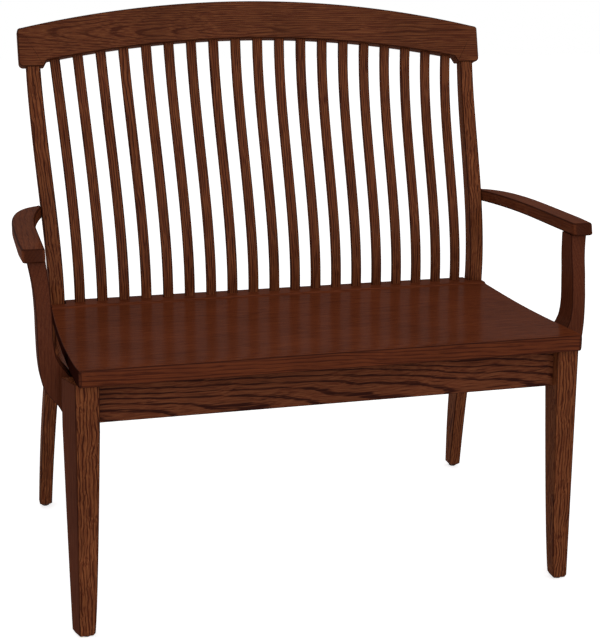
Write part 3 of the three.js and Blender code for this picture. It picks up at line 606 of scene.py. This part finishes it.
def seat_board(material, end_material):
    """Seat: sections across the bench carried back along it. The half width, top and bottom come from
    the curves above; near the front and rear faces all edges draw in by a quarter circle. Its ends, which
    face sideways, are end grain with a near-black finish of their own: darker stain and painted shade."""
    front_round, rear_round = 2.4, 1.5
    end_grain_edge, end_grain_fade = 1.6, 1.4
    angle = np.linspace(0, np.pi / 2, 6)
    rise = front_round * (1 - np.cos(angle))
    tuck = front_round * (1 - np.sin(angle))
    ramp = np.linspace(ledge_front - ledge_ramp, ledge_front, 8)
    notch = post_face(ledge_top) - fit
    fall = seat_depth - rear_round * (1 - np.cos(angle[::-1]))
    # Closer together where the section changes, and twice at the notch, where it steps in to the posts.
    y = np.concatenate([
        rise, np.linspace(3, ramp[0], 60)[:-1], ramp, [424, notch, notch, 440, 450], fall])
    narrow = np.arange(len(y)) > np.flatnonzero(y == notch)[0]
    draw = np.zeros(len(y))
    draw[:len(tuck)] = tuck
    draw[-len(fall):] = rear_round * (1 - np.sin(angle[::-1]))
    step = soft_step((y - ramp[0]) / ledge_ramp)
    top = scoop_height(np.minimum(y, ramp[0])) * (1 - step) + ledge_top * step - draw
    half = np.where(narrow, post_centre(ledge_top) - post_seat_width / 2 - fit, seat_half(y)) - draw
    bottom = seat_bottom + draw
    corners = np.stack([
        np.stack([-half, y, bottom], 1), np.stack([half, y, bottom], 1),
        np.stack([half, y, top], 1), np.stack([-half, y, top], 1)], axis=1)
    rings, arris = round_corners(corners, (side_band, side_round) * 2, (side_round, side_band) * 2, steps=5)
    # Painted shade on the seat's front face and on its front arrises.
    near = np.zeros(len(y))
    near[:len(tuck)] = np.maximum(np.sin(2 * angle), front_face_shade)
    x, depth, z = rings[..., 0], rings[..., 1], rings[..., 2]
    side = seat_half(depth)
    # Painted shade and darker end-grain stain towards the seat's ends.
    end_grain_and_shade = soft_step((np.abs(x) - side + end_grain_edge) / end_grain_fade)
    arris = np.maximum(np.maximum(arris[None], near[:, None]), end_grain_and_shade)
    grain = heart(x, depth, z - seat_top, (-120, -150), 0.03)
    seat = solid_piece("seat_board", "seat", rings, arris, grain, material)
    finish_and_shade_outer_sides(seat, end_material)
    return seat


def back_slat(number, material):
    """Slat: level sections of one width and thickness carried up the back's curve. The slats share the
    width between the posts, which grows from the seat to the crest by the height's share raised to the
    fan's power."""
    share = 2 * number / (slat_count - 1) - 1
    outermost = [post_centre(z) - post_width(z) / 2 - slat_gap - slat_width / 2
                 for z in (np.array(ledge_top), np.array(lip_height))]
    upper = share * outermost[1]
    under = crest_middle_under - (crest_under_radius - math.sqrt(crest_under_radius**2 - upper**2))
    crest_end = lip_height + under * math.cos(crest_tilt) + slat_crest_tenon
    z = np.linspace(ledge_top - slat_seat_tenon, crest_end, 44)
    up = np.maximum(z - ledge_top, 0) / back_height
    x = share * (outermost[0] + (outermost[1] - outermost[0]) * up**slat_fan_power)
    y = slat_face(z)
    half = slat_width / 2
    corners = four_corners((x - half, x - half), (x + half, x + half), y, y + slat_thickness, z)
    rings, arris = round_corners(corners, slat_arris, slat_arris)
    pick = np.random.default_rng(slat_seed + number)
    place = (pick.uniform(-70, -30), pick.uniform(-30, 10))
    taper, start = pick.uniform(-0.03, 0.03), pick.uniform(0, 4000)
    grain = heart(rings[..., 2], rings[..., 0] - x[:, None], rings[..., 1] - y[:, None],
                  place, taper, start)
    name = f"{number + 1:02d}"
    return solid_piece(f"slat_{name}", f"back_slat_{name}", rings, arris, grain, material)


def rear_post(side, mirror, material):
    """Post: sections carried from the floor to the crest rail's lip, the uppermost tipped to its slope,
    the lowest drawn in by a chamfer."""
    end = lip_height - fit
    z = np.concatenate([foot_steps, np.linspace(above_foot, end, 90)])
    draw = np.interp(z, foot_steps[[0, -1]], [post_chamfer, 0])
    tip = soft_step((z - post_tip_start) / (end - post_tip_start))
    z_rear = z - tip * post_depth(z) * math.tan(crest_tilt)
    middle, half = post_centre(z), post_width(z) / 2 - draw
    front = post_face(z) + draw
    rear = post_face(z_rear) + post_depth(z_rear) - draw
    z_front = z - tip * crest_lead * math.tan(crest_tilt)
    corners = four_corners((middle - half,) * 2, (middle + half,) * 2, front, rear, (z_front, z_rear))
    rings, arris = round_corners(corners, post_arris, post_arris)
    grain = heart(rings[..., 2], rings[..., 0] - middle[:, None], rings[..., 1] - front[:, None],
                  (52, -20), 0.03, 3000 if mirror else 1200)
    return solid_piece(f"post_{side}", f"rear_post_{side}", rings, arris, grain, material, mirror)


def leg_outer(z):
    """Outer edge of the front face of a leg, which runs straight out to the splay at the floor."""
    return seat_half(leg_front + leg_depth / 2) + leg_splay * (1 - z / apron_top)


def leg_inner(z):
    """Inner face of a leg: straight down to the block's end, then narrowed by a power of the height."""
    share = np.clip(z / leg_block_end, 0, 1)
    return leg_outer(z) - leg_foot_width - (leg_width - leg_foot_width) * share**leg_inner_power


def front_leg(side, mirror, material, shaded_side_material):
    """Front leg: four-sided sections carried up, whose outer face flares by a share of the depth, whose
    rear face tapers by a power of the height, and whose foot has a chamfer. The outer face shows the
    quieter grain of the plank's edge, in a darker finish that is painted shade."""
    z = np.concatenate([foot_steps, np.linspace(above_foot, leg_block_end, 60),
                        [leg_block_end + 12, apron_top - 1, apron_top]])
    draw = np.interp(z, foot_steps[[0, -1]], [leg_chamfer, 0])
    taper = np.clip(z / leg_block_end, 0, 1) ** leg_rear_power
    rear = leg_front + leg_foot_depth + (leg_depth - leg_foot_depth) * taper - draw
    front = leg_front + draw
    inner = leg_inner(z) + draw
    outer = leg_outer(z) - draw
    outer_edges = (outer + leg_flare * draw, outer + leg_flare * (rear - leg_front))
    corners = four_corners((inner, inner), outer_edges, front, rear, z)
    rings, arris = round_corners(corners, leg_arris, leg_arris)
    grain = heart(rings[..., 2], rings[..., 0] - leg_middle, rings[..., 1] - leg_front,
                  (-48, -22), 0.04, 6100 if mirror else 5200)
    leg = solid_piece(f"leg_{side}", f"front_leg_{side}", rings, arris, grain, material, mirror)
    finish_and_shade_outer_sides(leg, shaded_side_material)
    return leg


def apron_board(ends, depths, axis):
    """Apron: upright oblong sections carried along x or y, straight between two ends that are functions
    of height, as the faces that they meet are."""
    share = np.array([0, 0.02, 0.5, 0.98, 1])[:, None]
    across = np.broadcast_to([depths[0], depths[1], depths[1], depths[0]], (5, 4))
    z = np.broadcast_to([apron_bottom, apron_bottom, apron_top, apron_top], (5, 4))
    along = ends[0](z) * (1 - share) + ends[1](z) * share
    order = (along, across, z) if axis == "x" else (across, along, z)
    return round_corners(np.stack(order, axis=2), apron_arris, apron_arris)


def apron_boards(material):
    """Aprons: boards with eased arrises between the inner faces of the legs and posts, and on each side
    from the leg's rear face to the post's front face."""
    def leg_side(z):
        return leg_inner(z) - fit

    def post_side(z):
        return post_centre(z) - post_width(z) / 2 - fit

    rings, arris = apron_board((lambda z: -leg_side(z), leg_side), apron_depths, "x")
    grain = heart(rings[..., 0], rings[..., 2] - apron_heart, rings[..., 1] - apron_depths[0],
                  (-46, -79), 0.05, 900)
    solid_piece("front_apron_board", "front_apron", rings, arris, grain, material)

    rings, arris = apron_board((lambda z: -post_side(z), post_side), rear_apron_depths, "x")
    grain = heart(rings[..., 0], rings[..., 2] - apron_heart, rings[..., 1] - rear_apron_depths[1],
                  (20, -60), 0.05, 2900)
    solid_piece("rear_apron_board", "rear_apron", rings, arris, grain, material)

    ends = (lambda z: leg_front + leg_depth + fit + 0 * z, lambda z: post_face(z) - fit)
    rings, arris = apron_board(ends, side_apron_across, "y")
    for side, mirror in (("right", False), ("left", True)):
        grain = heart(rings[..., 1], rings[..., 2] - apron_heart, rings[..., 0] - 400, (50, -40), 0.05,
                      3900 if mirror else 4900)
        solid_piece(f"side_apron_board_{side}", f"side_apron_{side}", rings, arris, grain, material, mirror)


def crest_outline():
    """Outline of the crest rail, along its underside from the left end and back over the top, with as
    many points above as below: the arches are circles, a soft step leads from the lower one to the flat
    lip, and quarter circles round the four corners."""
    def under(x):
        return crest_middle_under - crest_under_radius + np.sqrt(crest_under_radius**2 - x**2)

    def over(x):
        return crest_middle_top - crest_top_radius + np.sqrt(crest_top_radius**2 - x**2)

    arch_end = crest_half - crest_lip - crest_cove
    x = np.linspace(0, arch_end, 40)
    t = np.linspace(0, 1, 9)[1:]
    low, high = crest_low_corner, crest_top_corner
    below = np.concatenate([
        np.stack([x, under(x)], 1),
        np.stack([arch_end + crest_cove * t, under(arch_end) * (1 - soft_step(t))], 1),
        arc((crest_half - low, low), low, -1, 0)])
    y = np.concatenate([x, arch_end + crest_cove * t])
    y = y * (crest_half - high) / y[-1]
    above = np.concatenate([
        np.stack([y, over(y)], 1),
        arc((crest_half - high, over(crest_half - high) - high), high, 1, 0)])
    below = np.concatenate([(below[1:] * (-1, 1))[::-1], below])
    above = np.concatenate([(above[1:] * (-1, 1))[::-1], above])
    return np.concatenate([below, above[::-1]])


def crest_board(material):
    """Crest rail: the outline drawn in at both arrises by quarter circles and carried through the
    board's thickness, then tipped back about its lip. The heart of the tree is nearest where the arches
    of the grain close and draws away from there, faster to the left."""
    inset, depth, near = edge_profile(crest_thickness, crest_arris)
    flat = inset_outline(crest_outline(), inset)
    depth = np.broadcast_to(depth[:, None], flat.shape[:2])
    lip_face = post_face(lip_height) - crest_lead
    y = lip_face + flat[..., 1] * math.sin(crest_tilt) + depth * math.cos(crest_tilt)
    z = lip_height + flat[..., 1] * math.cos(crest_tilt) - depth * math.sin(crest_tilt)
    rings = np.stack([flat[..., 0], y, z], axis=2)
    left = np.maximum(crest_arches - flat[..., 0], 0)
    right = flat[..., 0] - crest_arches + left
    away = depth + crest_heart_depth + crest_draw_left * left + crest_draw_right * right
    grain = heart(flat[..., 0], flat[..., 1] - 60, away, (4, 0), 0, 7000)
    return solid_piece("crest_board", "crest_rail", rings, near[:, None], grain, material)


def arm_plan():
    """Plan of the right arm, back along its outer edge and forward along its inner edge with as many
    points: rounded front corners, a slight taper, and two cubic curves that turn in to the post."""
    height = (arm_under + arm_top) / 2
    side = float(post_centre(height) + post_width(height) / 2) + fit
    front = float(post_face(height))
    back = front + float(post_depth(height))
    turn = front - arm_straight_end
    width = arm_outer - arm_inner
    start = arm_front + arm_corner
    nose = bezier((arm_outer - arm_taper, start),
                  (arm_outer - arm_taper / 2, arm_front + arm_taper_run / 2),
                  (arm_outer, arm_front + arm_taper_run * 0.75), (arm_outer, arm_front + arm_taper_run))
    outer = bezier((arm_outer, arm_straight_end), (arm_outer, arm_straight_end + turn * 0.8),
                   (arm_outer - width * 0.6, back - 14), (side, back))
    inner = bezier((side, front + 7), (arm_inner - width / 4, front - turn / 4),
                   (arm_inner, arm_straight_end + turn * 0.4), (arm_inner, arm_straight_end - turn * 0.1))
    straight = nose[-2:0:-1] * (0, 1) + (arm_inner, 0)
    return np.concatenate([
        arc((arm_outer - arm_taper - arm_corner, start), arm_corner, 3, 4), nose[1:-1], outer,
        inner, straight, arc((arm_inner + arm_corner, start), arm_corner, 2, 3)])


def arm_board(side, mirror, material):
    """Arm: the plan drawn in at both arrises and carried up through the thickness. Its front end is set
    back by the chin at the bottom, by nothing above that bevel and by the nose at the top, straight
    between these heights, and the set-back fades out behind the end. The end itself is end grain, darkened
    as stain and as painted shade."""
    inset, height, near = edge_profile(arm_top - arm_under, arm_arris, steps=5)
    flat = inset_outline(arm_plan(), inset)
    z = arm_under + np.broadcast_to(height[:, None], flat.shape[:2])
    behind = flat[..., 1] - arm_front
    set_back = np.interp(z - arm_under, arm_end_heights, (arm_chin, 0, arm_nose / 4, arm_nose))
    y = flat[..., 1] + set_back * soft_step(1 - behind / arm_nose_run)
    rings = np.stack([flat[..., 0], y, z], axis=2)
    end_grain_and_shade = arm_end_stain_and_shade * soft_step(1 - behind / arm_end_depth)
    near = np.maximum(near[:, None], end_grain_and_shade)
    grain = heart(y, flat[..., 0] - 480, z - arm_top, (-50, -50), 0.04, 8100 if mirror else 9200)
    return solid_piece(f"arm_board_{side}", f"arm_{side}", rings, near, grain, material, mirror)


def eased(values):
    """Running mean of each value and the three on each side of it, with the end values repeated."""
    return np.convolve(np.pad(values, 3, mode="edge"), np.ones(7) / 7, mode="valid")


def arm_support(side, mirror, material):
    """Arm support: level sections carried up between two smooth edges, flat against the apron below and
    bowed out past the seat. The front face rakes back towards the arm and the depth shrinks upwards, both
    by eased tables of the height's share."""
    z = np.linspace(support_foot, support_top, 80)
    share = (z - support_foot) / (support_top - support_foot)
    outer = support_seat + support_flare * through(support_outer, share)
    inner = support_seat + support_flare * np.maximum(through(support_inner, share), 0)
    front = support_front + support_rake * np.interp(share, *support_rake_at)
    depth = support_depth + support_foot_more * np.interp(share, *support_foot_more_at)
    corners = four_corners((inner, inner), (outer, outer), eased(front), eased(front + depth), z)
    rings, arris = round_corners(corners, support_arris, support_arris, steps=4)
    grain = heart(rings[..., 2], rings[..., 0] - 450, rings[..., 1] - 90, (-90, -40), 0.04,
                  10100 if mirror else 11200)
    return solid_piece(f"support_{side}", f"arm_support_{side}", rings, arris, grain, material, mirror)


finish = {name: stained_oak(f"stained_oak_{name}", *values) for name, values in finishes.items()}
seat_board(finish["seat"], finish["end_grain_and_shade"])
crest_board(finish["crest"])
for number in range(slat_count):
    back_slat(number, finish["boards"])
for side, mirror in (("right", False), ("left", True)):
    rear_post(side, mirror, finish["legs"])
    # The legs' outer sides take the darker supports finish as painted shade.
    front_leg(side, mirror, finish["legs"], finish["supports"])
    arm_board(side, mirror, finish["arms"])
    arm_support(side, mirror, finish["supports"])
apron_boards(finish["aprons"])

kept = {"plain_oak": thin_stained_oak(), "zinc_steel": zinc_steel(), "dark_nylon": dark_nylon()}
for subpart in frame["record"]["subparts"]:
    if subpart["material_slot"] in kept:
        node_object = bpy.data.objects[subpart["node"]]
        for slot in node_object.material_slots:
            slot.material = kept[subpart["material_slot"]]


# Stage: a pale floor, soft lamps, the photograph's view

floor_half = 12.0  # metres
floor_glow = 0.68  # added to the lit floor where it is seen, so that it just reaches white
world_light = 0.64
camera_turns = (15.62, 15.07, 0.6)  # degrees to the right, down and rolled
camera_place = (-0.6143, -1.9131, 1.0777)  # metres, y from the seat's front edge
camera_lens = 73.35
camera_shift = (0.005, -0.0168)


def rays_that_see(tree):
    """1 for rays from the camera, in reflections and through glass, and 0 for rays that only light."""
    ray = add_node(tree, "ShaderNodeLightPath").outputs
    seen = add_node(tree, "ShaderNodeMath", {0: ray["Is Camera Ray"], 1: ray["Is Glossy Ray"]},
                    operation="MAXIMUM").outputs[0]
    return add_node(tree, "ShaderNodeMath", {0: seen, 1: ray["Is Transmission Ray"]},
                    operation="MAXIMUM").outputs[0]


def add_floor():
    """Level floor that is seen white and still takes the bench's shadow."""
    mesh = bpy.data.meshes.new("floor")
    turns = ((-1, -1), (1, -1), (1, 1), (-1, 1))
    mesh.from_pydata([(floor_half * x, floor_half * y, 0) for x, y in turns], [], [(0, 1, 2, 3)])
    made, tree = new_material("pale_floor")
    lift = add_node(tree, "ShaderNodeMath", {0: rays_that_see(tree), 1: floor_glow},
                    operation="MULTIPLY").outputs[0]
    paint = add_node(tree, "ShaderNodeBsdfDiffuse", {"Color": srgb("#e8e8e8")}).outputs[0]
    glow = add_node(tree, "ShaderNodeEmission", {"Color": (1, 1, 1, 1), "Strength": lift}).outputs[0]
    both = add_node(tree, "ShaderNodeAddShader", {0: paint, 1: glow}).outputs[0]
    add_node(tree, "ShaderNodeOutputMaterial", {"Surface": both})
    mesh.materials.append(made)
    floor = bpy.data.objects.new("floor", mesh)
    bpy.context.scene.collection.objects.link(floor)


def add_lamp(name, place, aim, size, power):
    """Square soft lamp at a place in metres, turned to look at a point."""
    light = bpy.data.lights.new(name, "AREA")
    light.size = size
    light.energy = power
    lamp = bpy.data.objects.new(name, light)
    lamp.location = place
    lamp.rotation_euler = (Vector(aim) - Vector(place)).to_track_quat("-Z", "Y").to_euler()
    bpy.context.scene.collection.objects.link(lamp)


def add_world():
    """White to the camera and in reflections, a softer grey as light."""
    world = bpy.data.worlds.new("studio")
    world.use_nodes = True
    tree = world.node_tree
    tree.nodes.clear()
    level = add_node(tree, "ShaderNodeMapRange",
                     {"Value": rays_that_see(tree), "To Min": world_light}).outputs[0]
    glow = add_node(tree, "ShaderNodeBackground", {"Color": (1, 1, 1, 1), "Strength": level}).outputs[0]
    add_node(tree, "ShaderNodeOutputWorld", {"Surface": glow})
    bpy.context.scene.world = world


def add_camera():
    """The photograph's view: turned to the right and down, then rolled about the line of sight."""
    yaw, pitch, roll = (math.radians(angle) for angle in camera_turns)
    ahead = Vector((math.sin(yaw) * math.cos(pitch), math.cos(yaw) * math.cos(pitch), -math.sin(pitch)))
    right = Vector((math.cos(yaw), -math.sin(yaw), 0))
    up = right.cross(ahead)
    across = math.cos(roll) * right + math.sin(roll) * up
    above = math.cos(roll) * up - math.sin(roll) * right
    lens = bpy.data.cameras.new("camera")
    lens.lens = camera_lens
    lens.shift_x, lens.shift_y = camera_shift
    camera = bpy.data.objects.new("camera", lens)
    turn = Matrix((across, above, -ahead)).transposed().to_4x4()
    place = Vector(camera_place) + Vector((0, seat_front, 0))
    camera.matrix_world = Matrix.Translation(place) @ turn
    bpy.context.scene.collection.objects.link(camera)
    bpy.context.scene.camera = camera


add_floor()
add_world()
add_lamp("key", place=(1.0, -3.6, 2.8), aim=(0, 0, 0.5), size=2.4, power=27)
add_lamp("low_fill", place=(-0.6, -3.6, 0.6), aim=(0, 0, 0.25), size=2.0, power=15)
add_camera()
bpy.context.scene.view_settings.view_transform = "Standard"
